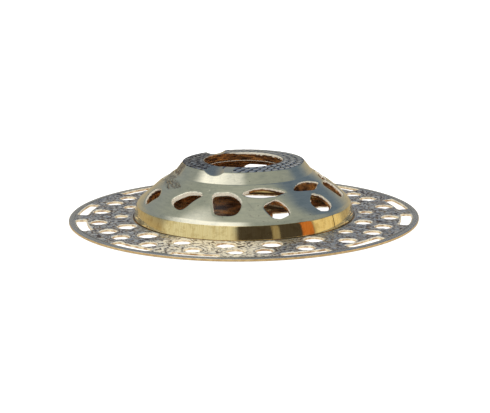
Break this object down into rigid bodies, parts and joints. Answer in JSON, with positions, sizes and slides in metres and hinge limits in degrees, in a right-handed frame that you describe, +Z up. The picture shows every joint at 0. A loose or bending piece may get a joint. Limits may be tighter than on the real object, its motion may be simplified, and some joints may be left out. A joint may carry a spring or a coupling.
{
  "type": "flower frog",
  "caption": "Round openwork rim plate with a loose pierced dome on it, which holds flower stems upright over a bowl.",
  "frame": {"origin": "centre of the rim plate's underside, on the axis of the mouth", "axes": "+Z up along the axis of the mouth, +X to the viewer's right, -Y towards the front notch and the viewer"},
  "size_m": [0.15, 0.15, 0.0251],
  "materials": {
    "cast_openwork": "cast brass with a grey-blue patina on the relief and bright edges",
    "bright_band": "lathe-turned and polished gold brass",
    "turned_dome": "polished pale brass with fine turning marks and a few scratches",
    "scaled_collar": "pale turned brass with a dark scale texture on top"
  },
  "bodies": {
    "plate": {"rim_plate": "cast_openwork"},
    "dome": {"dome_shell": "turned_dome", "band_hoop": "bright_band", "mouth_collar": "scaled_collar"}
  },
  "joints": [
    {"name": "dome_lift", "type": "slide", "parent": "plate", "child": "dome", "axis": [0, 0, 1], "range_m": [0, 0.03]}
  ]
}
